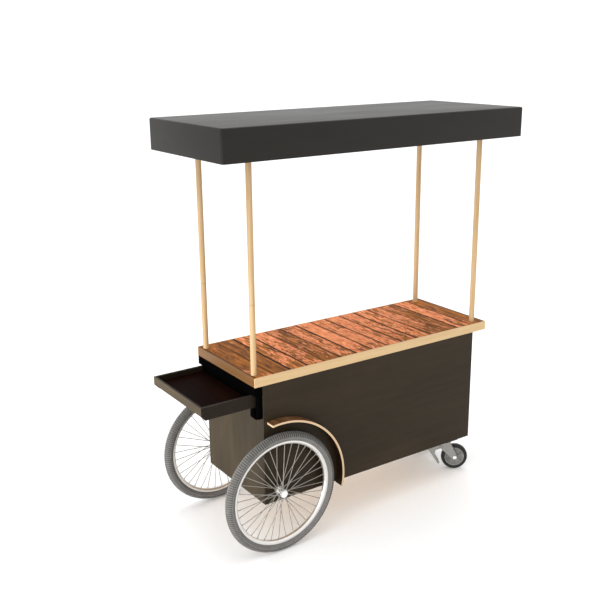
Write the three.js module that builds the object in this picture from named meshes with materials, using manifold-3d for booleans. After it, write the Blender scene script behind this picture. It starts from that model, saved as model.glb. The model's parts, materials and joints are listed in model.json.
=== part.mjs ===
// A push vending cart: a plywood cabinet under a planked counter, carried by two spoked wheels and two
// braked casters, with a fold-down tray at one end and a canopy on four jointed posts.
// Millimetres, +Z up. The origin is on the ground under the middle of the whole cart.
// -Y is the customers' side, +Y the seller's side, and -X the end with the big wheels and the tray.
import * as THREE from 'three';
import { mergeVertices } from 'three/addons/utils/BufferGeometryUtils.js';
import Module from 'manifold-3d';

const wasm = await Module();
wasm.setup();

// ---------------------------------------------------------------- driving dimensions
const GAP = 0.3; // kept between pieces that touch
const WELD = 1e-4; // vertices nearer than this are one
const SIDES = { front: -1, back: 1 };

const COUNTER = { left: -718, right: 868, halfDepth: 298, top: 965, bottom: 915 };
const BAND = 6; // thickness of the counter's edge band
const PLANK = { thick: 22, count: 15, grooveWide: 3, grooveDeep: 6 };

const BODY = { left: -671, right: 773, halfDepth: 294, bottom: 255, top: 915 };
const PLY = 12; // cabinet panels
const SHELF_TOP = 592;
const DOORWAY = { left: -155, right: 725, bottom: 290, top: 880 };
const DOOR_GAP = 1.5;
const HINGE = { offset: 5.3, radius: 4.5, leaf: 2, width: 20, length: 550, knuckles: 7, play: 0.6 };
const KNOB = { inset: 40, height: 600, foot: 9, neck: 7, radius: 15 };
const KNOB_AT = { neck: 8, bulge: 16, bulgeEnd: 22, end: 26 }; // how far each stands off the door

const POST = { left: -692.5, right: 802.5, y: 248, radius: 15, seam: 1330, sides: 16 };
const SPIGOT = { radius: 8, bore: 8.6, length: 58, depth: 62 };
const CANOPY = { left: -898, right: 1002, halfDepth: 373, bottom: 2036, top: 2195, corner: 15, wall: 12 };
const CANOPY_EDGE = 10; // rounding of the canopy's top edge
const RAIL = 30; // square rails that tie the posts under the canopy's roof

const AXLE = { x: -601, z: 330, radius: 10, play: 0.5, collar: 15, end: 376 };
const AXLE_NUT = { inset: 6, stand: 2, wall: 6 }; // measured from the end of the axle
const WHEEL = { y: 342, radius: 330, tyreHalf: 25, bead: 287, rimInner: 265, rimHalf: 15, sides: 40 };
const TYRE = { crownHalf: 8, shoulderDrop: 5, shoulderHalf: 17, bulgeDrop: 17 };
const TYRE_FOOT = { flankDrop: 29, flankHalf: 21, footHalf: 16 };
const RIM = { lipRise: 7, lipHalf: 14, floorHalf: 8 };
const HUB = { half: 27, barrel: 15, waist: 13, flange: 22, flangeAt: 22, flangeThick: 4, sides: 16 };
const SPOKE = { count: 36, radius: 1.5, hubRadius: 19, cross: 0.15, rimOffset: 3, rimGap: 1.2 };
const FENDER = { x: -592, inner: 378, thick: 12, outerY: 350, start: 98.5, end: -12, steps: 22 };
const BEARER = { wide: 60 };

const CASTER = { x: 720, y: 152, height: 200, swivel: -34, trail: 60 };
const CASTER_PLATE = { long: 96, wide: 80, thick: 4, raceway: 28, racewayBottom: 190, racewayTop: 197 };
const CASTER_WHEEL = { radius: 80, tyreHalf: 18, coreRadius: 60, tyreSides: 28, coreSides: 20 };
const CASTER_TYRE = { footHalf: 15, flankRise: 7, shoulderDrop: 5, shoulderHalf: 16, crownHalf: 9 };
const CASTER_CORE = { boss: 18, bossHalf: 17, webHalf: 8, webEnd: 48, ringStart: 52, ringHalf: 15 };
const FORK = { cheekIn: 20, cheekThick: 4, half: 28, foot: 140, axleBoss: 17 };
const FORK_CROWN = { radius: 26, top: 190, bottom: 168 };
const BOLT = { radius: 6, head: 11, headThick: 6 };
const PEDAL = { x: -18, z: 152, half: 16, armThick: 24, treadThick: 14, pin: 4, pinStand: 2 };
const PEDAL_TREAD = { toeX: -92, toeZ: 126, heelX: -33, heelZ: 36 };
const BEAM = { left: 672, right: 768, halfDepth: 215 };

const TRAY = { pivotX: -685, pivotZ: 810, outer: -1002, top: 866, bottom: 797, halfDepth: 262, wall: 12 };
const TRAY_SIDE = { endBottom: 821, taper: 22, heel: -2, toe: 8, toeDrop: 5 }; // heel and toe from the pivot
const TRAY_FLOOR = { top: 836, thick: 10, inner: -700 };
const TRAY_PIN = { radius: 4, bore: 4.7, length: 16 };
const APRON = { bottom: 868, tongueBottom: 836.6, tongueHalf: 249.4 };
const BATTEN = { outer: -696, bottom: 738, inY: 264, outY: 291 };
const LEG = { outer: -699, bottom: 719, inY: 215, outY: 248, chamfer: 14 };

// ---------------------------------------------------------------- materials
const finish = (color, roughness, metalness = 0) => (
  new THREE.MeshStandardMaterial({ color, roughness, metalness })
);
const charcoal = finish('#3a332c', 0.45);
const black = finish('#0d0c0b', 0.6);
const canopyPaint = finish('#4a4640', 0.55);
const paleWood = finish('#e8c48f', 0.6);
const oldPlank = finish('#a8603a', 0.7);
const bareTimber = finish('#b28f62', 0.75);
const fenderPly = finish('#7a4f2c', 0.6);
const zinc = finish('#9a9a96', 0.4, 0.8);
const silver = finish('#d9d7d3', 0.25, 0.9);
const rubber = finish('#5c595a', 0.85);
const casterRubber = finish('#23231f', 0.8);
const brass = finish('#b08d4a', 0.35, 0.9);

// ---------------------------------------------------------------- geometry helpers
const degrees = THREE.MathUtils.degToRad;

// The corner radius of a regular polygon whose flats lie at the given radius.
const overFlats = (radius, sides) => radius / Math.cos(Math.PI / sides);

// Joins coincident vertices and drops triangles with no area.
function weld(geometry) {
  const bare = geometry.clone();
  bare.deleteAttribute('normal');
  bare.deleteAttribute('uv');
  const merged = mergeVertices(bare, WELD);
  const kept = [];
  for (let i = 0; i < merged.index.count; i += 3) {
    const [a, b, c] = [0, 1, 2].map((k) => merged.index.getX(i + k));
    if (a !== b && b !== c && c !== a) kept.push(a, b, c);
  }
  merged.setIndex(kept);
  merged.computeVertexNormals();
  return merged;
}

function toManifold(geometry) {
  const welded = weld(geometry);
  return new wasm.Manifold(new wasm.Mesh({
    numProp: 3,
    vertProperties: new Float32Array(welded.attributes.position.array),
    triVerts: new Uint32Array(welded.index.array),
  }));
}

function toGeometry(manifold) {
  const { vertProperties, triVerts } = manifold.getMesh();
  const geometry = new THREE.BufferGeometry();
  geometry.setAttribute('position', new THREE.BufferAttribute(new Float32Array(vertProperties), 3));
  geometry.setIndex(new THREE.BufferAttribute(new Uint32Array(triVerts), 1));
  geometry.computeVertexNormals();
  return geometry;
}

const join = (...pieces) => toGeometry(pieces.map(toManifold).reduce((whole, piece) => whole.add(piece)));
const cut = (body, ...tools) => (
  toGeometry(tools.map(toManifold).reduce((left, tool) => left.subtract(tool), toManifold(body)))
);

function slab([x0, x1], [y0, y1], [z0, z1]) {
  const geometry = new THREE.BoxGeometry(x1 - x0, y1 - y0, z1 - z0);
  return geometry.translate((x0 + x1) / 2, (y0 + y1) / 2, (z0 + z1) / 2);
}

// A solid turned about Y from [radius, y] points, with a flat facet at its lowest side.
function turnedY(points, sides) {
  let doubledArea = 0;
  for (let i = 0; i < points.length; i += 1) {
    const [r0, h0] = points[i];
    const [r1, h1] = points[(i + 1) % points.length];
    doubledArea += r0 * h1 - r1 * h0;
  }
  const outline = points.map(([r, h]) => new THREE.Vector2(r, h));
  if (doubledArea < 0) outline.reverse();
  const touchesAxis = points.some(([r]) => r === 0);
  if (!touchesAxis) outline.push(outline[0].clone());
  return weld(new THREE.LatheGeometry(outline, sides, Math.PI / sides));
}

// A closed [radius, y] outline from its +Y half.
const bothSides = (half) => [...half, ...half.map(([r, y]) => [r, -y]).reverse()];

const turnedZ = (points, sides) => turnedY(points, sides).rotateX(Math.PI / 2);

// A shape drawn in X and Z, extruded along Y.
function prismXZ(shape, y0, y1, curveSegments = 12) {
  const geometry = new THREE.ExtrudeGeometry(shape, { depth: y1 - y0, bevelEnabled: false, curveSegments });
  return geometry.rotateX(Math.PI / 2).translate(0, y1, 0);
}

function outline(points) {
  return new THREE.Shape(points.map(([u, v]) => new THREE.Vector2(u, v)));
}

// A straight round bar between two points, as a prism.
function bar(from, to, radius, sides) {
  const along = new THREE.Vector3().subVectors(to, from);
  const geometry = new THREE.CylinderGeometry(radius, radius, along.length(), sides);
  const up = new THREE.Vector3(0, 1, 0);
  const turn = new THREE.Quaternion().setFromUnitVectors(up, along.clone().normalize());
  geometry.applyQuaternion(turn);
  return geometry.translate(...new THREE.Vector3().addVectors(from, to).multiplyScalar(0.5).toArray());
}

function roundedRectangle(left, right, halfDepth, radius) {
  const shape = new THREE.Shape();
  const [x0, x1, y1] = [left + radius, right - radius, halfDepth - radius];
  shape.absarc(x1, y1, radius, 0, Math.PI / 2);
  shape.absarc(x0, y1, radius, Math.PI / 2, Math.PI);
  shape.absarc(x0, -y1, radius, Math.PI, 1.5 * Math.PI);
  shape.absarc(x1, -y1, radius, 1.5 * Math.PI, 2 * Math.PI);
  return shape;
}

function add(group, name, geometry, material) {
  const mesh = new THREE.Mesh(geometry, material);
  mesh.name = name;
  group.add(mesh);
  return mesh;
}

function subgroup(parent, x, y, z) {
  const group = new THREE.Group();
  group.position.set(x, y, z);
  parent.add(group);
  return group;
}

// ---------------------------------------------------------------- cabinet
function axleHole(y0, y1) {
  const radius = overFlats(AXLE.radius + AXLE.play, HUB.sides);
  return turnedY([[0, y0], [radius, y0], [radius, y1], [0, y1]], HUB.sides).translate(AXLE.x, 0, AXLE.z);
}

function addCabinet(cart) {
  const outer = BODY.halfDepth;
  const inner = outer - PLY;
  const height = [BODY.bottom, BODY.top - GAP];
  const between = [-inner + GAP, inner - GAP];
  const inside = [BODY.left + PLY + GAP, BODY.right - PLY - GAP];
  const full = [BODY.left, BODY.right];

  const front = slab(full, [-outer, -inner], height);
  add(cart, 'front_panel', cut(front, axleHole(-outer - 1, -inner + 1)), charcoal);

  const doorway = slab([DOORWAY.left, DOORWAY.right], [inner - 1, outer + 1], [DOORWAY.bottom, DOORWAY.top]);
  const back = slab(full, [inner, outer], height);
  add(cart, 'back_face_frame', cut(back, doorway, axleHole(inner - 1, outer + 1)), charcoal);

  add(cart, 'left_end_panel', slab([BODY.left, BODY.left + PLY], between, height), charcoal);
  add(cart, 'right_end_panel', slab([BODY.right - PLY, BODY.right], between, height), charcoal);
  add(cart, 'floor_panel', slab(inside, between, [BODY.bottom, BODY.bottom + PLY]), bareTimber);
  add(cart, 'inner_shelf', slab(inside, between, [SHELF_TOP - PLY, SHELF_TOP]), bareTimber);

  const bearerX = [AXLE.x - BEARER.wide / 2, AXLE.x + BEARER.wide / 2];
  const bearerZ = [BODY.bottom + PLY + GAP, AXLE.z - AXLE.radius - GAP];
  add(cart, 'axle_bearer', slab(bearerX, between, bearerZ), bareTimber);

  const beamZ = [CASTER.height + GAP, BODY.bottom - GAP];
  const beam = slab([BEAM.left, BEAM.right], [-BEAM.halfDepth, BEAM.halfDepth], beamZ);
  add(cart, 'caster_beam', beam, black);
}

// ---------------------------------------------------------------- doors
// One leaf of a long hinge about Z: a strip on the +X side of the pin, with every second knuckle.
function hingeLeaf(firstKnuckle) {
  const pitch = HINGE.length / HINGE.knuckles;
  const leafY = [-HINGE.offset + GAP, -HINGE.offset + GAP + HINGE.leaf];
  const clear = HINGE.radius + HINGE.play;
  const pieces = [slab([clear, HINGE.width], leafY, [0, HINGE.length])];
  for (let i = firstKnuckle; i < HINGE.knuckles; i += 2) {
    const z0 = i * pitch + HINGE.play / 2;
    const z1 = (i + 1) * pitch - HINGE.play / 2;
    pieces.push(turnedZ([[0, z0], [HINGE.radius, z0], [HINGE.radius, z1], [0, z1]], 8));
    pieces.push(slab([0, clear + 1], leafY, [z0, z1]));
  }
  return join(...pieces);
}

function addDoor(cart, name, hingeX, towards) {
  const pinY = BODY.halfDepth + HINGE.offset;
  const middle = (DOORWAY.left + DOORWAY.right) / 2;
  const width = Math.abs(middle - hingeX);
  const hinge = subgroup(cart, hingeX, pinY, 0);
  const spanX = (a, b) => (towards > 0 ? [a, b] : [-b, -a]);
  const hingeZ = (DOORWAY.bottom + DOORWAY.top - HINGE.length) / 2;

  const panelY = [-HINGE.offset - PLY, -HINGE.offset];
  const panelZ = [DOORWAY.bottom + DOOR_GAP, DOORWAY.top - DOOR_GAP];
  add(hinge, `door_${name}`, slab(spanX(DOOR_GAP, width - DOOR_GAP / 2), panelY, panelZ), charcoal);

  const leafTurn = towards > 0 ? [0, 1] : [1, 0];
  const leaves = [`door_hinge_leaf_${name}`, `frame_hinge_leaf_${name}`];
  leaves.forEach((leafName, index) => {
    const flipped = leafTurn[index] === 1;
    const leaf = hingeLeaf(index);
    const facing = flipped ? leaf.applyMatrix4(new THREE.Matrix4().makeScale(-1, 1, 1)) : leaf;
    const outward = flipped ? reversed(facing) : facing;
    add(hinge, leafName, outward.translate(0, 0, hingeZ), brass);
  });

  const base = -HINGE.offset + GAP;
  const knob = [
    [0, base], [KNOB.foot, base], [KNOB.neck, base + KNOB_AT.neck], [KNOB.radius, base + KNOB_AT.bulge],
    [KNOB.radius, base + KNOB_AT.bulgeEnd], [0, base + KNOB_AT.end],
  ];
  const knobX = towards * (width - KNOB.inset);
  add(hinge, `door_knob_${name}`, turnedY(knob, 16).translate(knobX, 0, KNOB.height), brass);
}

// Turns every triangle round, for a mirrored piece.
function reversed(geometry) {
  const index = geometry.index;
  for (let i = 0; i < index.count; i += 3) {
    const second = index.getX(i + 1);
    index.setX(i + 1, index.getX(i + 2));
    index.setX(i + 2, second);
  }
  geometry.computeVertexNormals();
  return geometry;
}

// ---------------------------------------------------------------- counter
function postHoles(z0, z1) {
  const radius = overFlats(POST.radius + GAP, POST.sides);
  const holes = [];
  for (const x of [POST.left, POST.right]) {
    for (const y of [-POST.y, POST.y]) {
      holes.push(turnedZ([[0, z0], [radius, z0], [radius, z1], [0, z1]], POST.sides).translate(x, y, 0));
    }
  }
  return holes;
}

function addCounter(cart) {
  const { left, right, halfDepth, top, bottom } = COUNTER;
  const insideX = [left + BAND + GAP, right - BAND - GAP];
  const insideY = [-halfDepth + BAND + GAP, halfDepth - BAND - GAP];
  const deckBottom = top - PLANK.thick;

  const subTop = slab(insideX, insideY, [bottom, deckBottom - GAP]);
  add(cart, 'counter_sub_top', cut(subTop, ...postHoles(bottom - 1, deckBottom + 1)), bareTimber);

  const pitch = (insideX[1] - insideX[0]) / PLANK.count;
  const grooves = [];
  for (let i = 1; i < PLANK.count; i += 1) {
    const x = insideX[0] + i * pitch;
    const grooveX = [x - PLANK.grooveWide / 2, x + PLANK.grooveWide / 2];
    grooves.push(slab(grooveX, [-halfDepth, halfDepth], [top - PLANK.grooveDeep, top + 1]));
  }
  const deck = slab(insideX, insideY, [deckBottom, top]);
  add(cart, 'plank_deck', cut(deck, ...grooves, ...postHoles(deckBottom - 1, top + 1)), oldPlank);

  for (const [name, side] of Object.entries(SIDES)) {
    const edges = [side * halfDepth, side * (halfDepth - BAND)].sort((a, b) => a - b);
    add(cart, `edge_band_${name}`, slab([left, right], edges, [bottom, top]), paleWood);
  }
  add(cart, 'edge_band_left', slab([left, left + BAND], insideY, [bottom, top]), paleWood);
  add(cart, 'edge_band_right', slab([right - BAND, right], insideY, [bottom, top]), paleWood);
}

// ---------------------------------------------------------------- posts and canopy
function addPosts(cart) {
  const foot = COUNTER.bottom + GAP;
  const seamLow = POST.seam - GAP / 2;
  const seamHigh = POST.seam + GAP / 2;
  const railBottom = CANOPY.top - CANOPY.wall - GAP - RAIL;
  const boreRadius = overFlats(SPIGOT.bore, POST.sides);
  const lower = [
    [0, foot], [POST.radius, foot], [POST.radius, seamLow], [SPIGOT.radius, seamLow],
    [SPIGOT.radius, seamLow + SPIGOT.length], [0, seamLow + SPIGOT.length],
  ];
  const upper = [
    [0, seamHigh + SPIGOT.depth], [boreRadius, seamHigh + SPIGOT.depth], [boreRadius, seamHigh],
    [POST.radius, seamHigh], [POST.radius, railBottom - GAP], [0, railBottom - GAP],
  ];
  for (const [frontBack, side] of Object.entries(SIDES)) {
    for (const leftRight of ['left', 'right']) {
      const post = subgroup(cart, POST[leftRight], side * POST.y, 0);
      add(post, `lower_post_${frontBack}_${leftRight}`, turnedZ(lower, POST.sides), paleWood);
      add(post, `upper_post_${frontBack}_${leftRight}`, turnedZ(upper, POST.sides), paleWood);
    }
  }
}

function addCanopy(cart) {
  const { left, right, halfDepth, bottom, top, corner, wall } = CANOPY;
  const skirtBelow = 2 * CANOPY_EDGE;
  const outerShape = roundedRectangle(left, right, halfDepth, corner);
  const outer = new THREE.ExtrudeGeometry(outerShape, {
    depth: top - bottom + skirtBelow - 2 * CANOPY_EDGE,
    bevelThickness: CANOPY_EDGE,
    bevelSize: CANOPY_EDGE,
    bevelOffset: -CANOPY_EDGE,
    bevelSegments: 2,
    curveSegments: 4,
  }).translate(0, 0, bottom - skirtBelow + CANOPY_EDGE);
  const innerShape = roundedRectangle(left + wall, right - wall, halfDepth - wall, corner - wall);
  const hollow = new THREE.ExtrudeGeometry(innerShape, {
    depth: top - wall - bottom + skirtBelow,
    bevelEnabled: false,
    curveSegments: 3,
  }).translate(0, 0, bottom - skirtBelow);
  const around = [[left - 1, right + 1], [-halfDepth - 1, halfDepth + 1]];
  const below = slab(...around, [bottom - 2 * skirtBelow, bottom]);
  add(cart, 'canopy_shell', cut(outer, hollow, below), canopyPaint);

  const railTop = top - wall - GAP;
  const half = RAIL / 2;
  const ring = (grow) => [
    [POST.left - grow, POST.right + grow], [-POST.y - grow, POST.y + grow], [railTop - RAIL, railTop],
  ];
  const [insideX, insideY] = ring(-half);
  const frame = cut(slab(...ring(half)), slab(insideX, insideY, [railTop - RAIL - 1, railTop + 1]));
  add(cart, 'canopy_frame', frame, bareTimber);
}

// ---------------------------------------------------------------- big wheels
function tyreProfile() {
  const { radius, tyreHalf, bead } = WHEEL;
  return bothSides([
    [overFlats(radius, WHEEL.sides), TYRE.crownHalf], [radius - TYRE.shoulderDrop, TYRE.shoulderHalf],
    [radius - TYRE.bulgeDrop, tyreHalf], [radius - TYRE_FOOT.flankDrop, TYRE_FOOT.flankHalf],
    [bead + GAP, TYRE_FOOT.footHalf],
  ]);
}

function rimProfile() {
  const { bead, rimInner, rimHalf } = WHEEL;
  return bothSides([[bead - GAP, rimHalf], [rimInner + RIM.lipRise, RIM.lipHalf], [rimInner, RIM.floorHalf]]);
}

function hubProfile() {
  const { half, barrel, waist, flange, flangeAt, flangeThick } = HUB;
  const bore = overFlats(AXLE.radius + AXLE.play, HUB.sides);
  const low = flangeAt - flangeThick / 2;
  const high = flangeAt + flangeThick / 2;
  return bothSides([
    [bore, half], [barrel, half], [barrel, high], [flange, high], [flange, low], [waist, low],
  ]);
}

function spokedHub() {
  let wheel = toManifold(turnedY(hubProfile(), HUB.sides));
  const rimRadius = WHEEL.rimInner - SPOKE.rimGap;
  for (let i = 0; i < SPOKE.count; i += 1) {
    const side = i % 2 ? 1 : -1;
    const lean = i % 4 < 2 ? 1 : -1;
    const atRim = (2 * Math.PI * (i + 0.5)) / SPOKE.count;
    const atHub = atRim + lean * SPOKE.cross;
    const point = (radius, angle, y) => (
      new THREE.Vector3(radius * Math.cos(angle), y, radius * Math.sin(angle))
    );
    const from = point(SPOKE.hubRadius, atHub, side * HUB.flangeAt);
    const to = point(rimRadius, atRim, side * SPOKE.rimOffset);
    wheel = wheel.add(toManifold(bar(from, to, SPOKE.radius, 4)));
  }
  return toGeometry(wheel);
}

function addWheels(cart) {
  for (const [name, side] of Object.entries(SIDES)) {
    const wheel = subgroup(cart, AXLE.x, side * WHEEL.y, AXLE.z);
    add(wheel, `tyre_${name}`, turnedY(tyreProfile(), WHEEL.sides), rubber);
    add(wheel, `rim_${name}`, turnedY(rimProfile(), WHEEL.sides), silver);
    add(wheel, `spoked_hub_${name}`, spokedHub(), silver);

    const nut = [AXLE.end - AXLE_NUT.inset, AXLE.end + AXLE_NUT.stand].map((y) => y - WHEEL.y);
    const bore = overFlats(AXLE.radius + GAP, 6);
    const rim = bore + AXLE_NUT.wall;
    const ring = [[bore, nut[0]], [rim, nut[0]], [rim, nut[1]], [bore, nut[1]]];
    add(wheel, `axle_nut_${name}`, turnedY(ring.map(([r, y]) => [r, side * y]), 6), zinc);
  }
  const { radius, collar, end } = AXLE;
  const collarIn = BODY.halfDepth + GAP;
  const collarOut = WHEEL.y - HUB.half - GAP;
  const half = [
    [0, end], [radius, end], [radius, collarOut], [collar, collarOut], [collar, collarIn], [radius, collarIn],
  ];
  add(cart, 'axle', turnedY(bothSides(half), HUB.sides).translate(AXLE.x, 0, AXLE.z), zinc);
}

function addFenders(cart) {
  const { x, inner, thick, start, end, steps, outerY } = FENDER;
  const arc = (radius, from, to) => Array.from({ length: steps + 1 }, (_, i) => {
    const angle = degrees(from + ((to - from) * i) / steps);
    return [x + radius * Math.cos(angle), AXLE.z + radius * Math.sin(angle)];
  });
  const shape = outline([...arc(inner + thick, end, start), ...arc(inner, start, end)]);
  const faceY = BODY.halfDepth + GAP;
  add(cart, 'fender_front', prismXZ(shape, -outerY, -faceY), fenderPly);
  add(cart, 'fender_back', prismXZ(shape, faceY, outerY), fenderPly);
}

// ---------------------------------------------------------------- casters
function casterFork() {
  const { cheekIn, cheekThick, half, foot, axleBoss } = FORK;
  const { radius: crown, top: crownTop, bottom: bridgeBottom } = FORK_CROWN;
  const bridgeTop = crownTop - CASTER_PLATE.thick;
  const cheek = new THREE.Shape();
  cheek.moveTo(half, bridgeTop);
  cheek.lineTo(-half, bridgeTop);
  cheek.lineTo(-half, foot);
  cheek.absarc(CASTER.trail, CASTER_WHEEL.radius, axleBoss, degrees(232), degrees(372), false);
  const outerFace = cheekIn + cheekThick;
  const bridge = slab([-half, half], [-outerFace, outerFace], [bridgeBottom, bridgeTop]);
  const crownProfile = [
    [0, bridgeBottom], [crown, bridgeBottom], [crown, crownTop - GAP], [0, crownTop - GAP],
  ];
  const crossHole = (radius, x, z) => {
    const reach = overFlats(radius, 8);
    const end = 2 * outerFace;
    return turnedY([[0, -end], [reach, -end], [reach, end], [0, end]], 8).translate(x, 0, z);
  };
  const cheeks = [prismXZ(cheek, -outerFace, -cheekIn, 8), prismXZ(cheek, cheekIn, outerFace, 8)];
  const body = join(...cheeks, bridge, turnedZ(crownProfile, 20));
  const boltHole = crossHole(BOLT.radius + GAP, CASTER.trail, CASTER_WHEEL.radius);
  return cut(body, boltHole, crossHole(PEDAL.pin + 2 * GAP, PEDAL.x, PEDAL.z));
}

function casterCore() {
  const { boss, bossHalf, webHalf, webEnd, ringStart, ringHalf } = CASTER_CORE;
  const bore = overFlats(BOLT.radius + AXLE.play, 12);
  return turnedY(bothSides([
    [CASTER_WHEEL.coreRadius - GAP, ringHalf], [ringStart, ringHalf], [webEnd, webHalf],
    [boss, webHalf], [boss, bossHalf], [bore, bossHalf],
  ]), CASTER_WHEEL.coreSides);
}

function casterTyre() {
  const { coreRadius, radius, tyreHalf, tyreSides } = CASTER_WHEEL;
  const { footHalf, flankRise, shoulderDrop, shoulderHalf, crownHalf } = CASTER_TYRE;
  return turnedY(bothSides([
    [overFlats(radius, tyreSides), crownHalf], [radius - shoulderDrop, shoulderHalf],
    [coreRadius + flankRise, tyreHalf], [coreRadius + GAP, footHalf],
  ]), tyreSides);
}

function casterBolt() {
  const face = FORK.cheekIn + FORK.cheekThick + GAP;
  const end = face + BOLT.headThick;
  const { radius, head } = BOLT;
  return turnedY(bothSides([[0, end], [head, end], [head, face], [radius, face]]), 12);
}

// A bent lever: an arm from the pivot out to the toe, and a tread that folds back under it.
function brakePedal() {
  const { toeX, toeZ, heelX, heelZ } = PEDAL_TREAD;
  const strip = (x0, z0, x1, z1, thick) => {
    const length = Math.hypot(x1 - x0, z1 - z0);
    const flat = slab([0, length], [-PEDAL.half, PEDAL.half], [-thick / 2, thick / 2]);
    return flat.rotateY(-Math.atan2(z1 - z0, x1 - x0)).translate(x0, 0, z0);
  };
  const arm = strip(PEDAL.x, PEDAL.z, toeX, toeZ, PEDAL.armThick);
  const tread = strip(toeX, toeZ, heelX, heelZ, PEDAL.treadThick);
  const pinEnd = FORK.cheekIn + FORK.cheekThick + PEDAL.pinStand;
  const pin = [[0, -pinEnd], [PEDAL.pin, -pinEnd], [PEDAL.pin, pinEnd], [0, pinEnd]];
  return join(arm, tread, turnedY(pin, 8).translate(PEDAL.x, 0, PEDAL.z));
}

function addCasters(cart) {
  for (const [name, side] of Object.entries(SIDES)) {
    const mount = subgroup(cart, CASTER.x, side * CASTER.y, 0);
    const { long, wide, thick, raceway, racewayBottom, racewayTop } = CASTER_PLATE;
    const plate = slab([-long / 2, long / 2], [-wide / 2, wide / 2], [CASTER.height - thick, CASTER.height]);
    const race = [[0, racewayBottom], [raceway, racewayBottom], [raceway, racewayTop], [0, racewayTop]];
    add(mount, `caster_plate_${name}`, join(plate, turnedZ(race, 20)), zinc);

    const swivel = subgroup(mount, 0, 0, 0);
    swivel.rotation.z = degrees(CASTER.swivel);
    add(swivel, `caster_fork_${name}`, casterFork(), zinc);
    add(swivel, `brake_pedal_${name}`, brakePedal(), zinc);

    const wheel = subgroup(swivel, CASTER.trail, 0, CASTER_WHEEL.radius);
    add(wheel, `caster_bolt_${name}`, casterBolt(), zinc);
    add(wheel, `caster_core_${name}`, casterCore(), zinc);
    add(wheel, `caster_tyre_${name}`, casterTyre(), casterRubber);
  }
}

// ---------------------------------------------------------------- end tray
// The board under the counter's end, with a tongue down to the tray's floor and a batten at each corner.
function addApron(cart) {
  const faceX = [COUNTER.left, BODY.left - GAP];
  const top = slab(faceX, [-BODY.halfDepth, BODY.halfDepth], [APRON.bottom, COUNTER.bottom - GAP]);
  const tongue = slab(faceX, [-APRON.tongueHalf, APRON.tongueHalf], [APRON.tongueBottom, APRON.bottom + 1]);
  const battens = Object.values(SIDES).map((side) => {
    const batten = [side * BATTEN.inY, side * BATTEN.outY].sort((a, b) => a - b);
    return slab([BATTEN.outer, BODY.left - GAP], batten, [BATTEN.bottom, APRON.bottom + 1]);
  });
  add(cart, 'apron', join(top, tongue, ...battens), black);
}

// A post below the tray with a round lug at its top, where the tray's pin turns.
function addTrayLegs(cart) {
  const innerX = BODY.left - GAP;
  const lugRadius = TRAY.pivotX - LEG.outer;
  for (const [name, side] of Object.entries(SIDES)) {
    const shape = new THREE.Shape();
    shape.moveTo(innerX, TRAY.pivotZ);
    shape.lineTo(innerX, LEG.bottom);
    shape.lineTo(LEG.outer + LEG.chamfer, LEG.bottom);
    shape.lineTo(LEG.outer, LEG.bottom + LEG.chamfer);
    shape.absarc(TRAY.pivotX, TRAY.pivotZ, lugRadius - GAP, Math.PI, 0, true);
    const [y0, y1] = [side * LEG.inY, side * LEG.outY].sort((a, b) => a - b);
    const reach = side * (LEG.outY - TRAY_PIN.length);
    const bore = overFlats(TRAY_PIN.bore, 8);
    const mouth = side * (LEG.outY + 1);
    const hole = turnedY([[0, reach], [bore, reach], [bore, mouth], [0, mouth]], 8);
    hole.translate(TRAY.pivotX, 0, TRAY.pivotZ);
    add(cart, `tray_leg_${name}`, cut(prismXZ(shape, y0, y1, 8), hole), black);
  }
}

function addTray(cart) {
  const { pivotX, pivotZ, outer, top, bottom, halfDepth, wall } = TRAY;
  const tray = subgroup(cart, pivotX, 0, pivotZ);
  const x = outer - pivotX;
  const [z0, z1] = [bottom - pivotZ, top - pivotZ];
  const { endBottom, taper, heel, toe, toeDrop } = TRAY_SIDE;
  const endZ = endBottom - pivotZ;
  const side = outline([[x, z1], [x, endZ], [x + taper, z0], [heel, z0], [toe, -toeDrop], [toe, z1]]);
  const inner = halfDepth - wall;
  const walls = [prismXZ(side, -halfDepth, -inner), prismXZ(side, inner, halfDepth)];
  const end = slab([x, x + wall], [-halfDepth, halfDepth], [endZ, z1]);
  const pinEnd = LEG.outY - TRAY_PIN.length + 2;
  const pins = [-1, 1].map((s) => {
    const [root, tip] = [s * (inner + 2), s * pinEnd];
    return turnedY([[0, root], [TRAY_PIN.radius, root], [TRAY_PIN.radius, tip], [0, tip]], 8);
  });
  add(tray, 'tray_frame', join(...walls, end, ...pins), charcoal);

  const floorX = [x + wall + GAP, TRAY_FLOOR.inner - pivotX];
  const floorZ = [TRAY_FLOOR.top - TRAY_FLOOR.thick - pivotZ, TRAY_FLOOR.top - pivotZ];
  add(tray, 'tray_floor', slab(floorX, [-inner + GAP, inner - GAP], floorZ), black);
}

// ---------------------------------------------------------------- the cart
const cart = new THREE.Group();
addCabinet(cart);
addDoor(cart, 'left', DOORWAY.left, 1);
addDoor(cart, 'right', DOORWAY.right, -1);
addCounter(cart);
addPosts(cart);
addCanopy(cart);
addWheels(cart);
addFenders(cart);
addCasters(cart);
addApron(cart);
addTrayLegs(cart);
addTray(cart);

export default cart;
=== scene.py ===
"""The looks of a push vending cart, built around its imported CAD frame.

Metres, +Z up, the same frame as the CAD. The flat sheets and timbers keep their CAD meshes and get softened
edges and a material, and so do the caster plates, forks and bolts. The planks, posts, canopy, big wheels,
fenders, caster wheels, pedals, hinges and knobs are finer meshes that stand for their CAD nodes. Places come
from the frame; sizes that belong to the looks alone are named.
"""

import json
import math
import random

import bmesh
import bpy
import numpy as np
from mathutils import Matrix, Vector, noise


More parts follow.
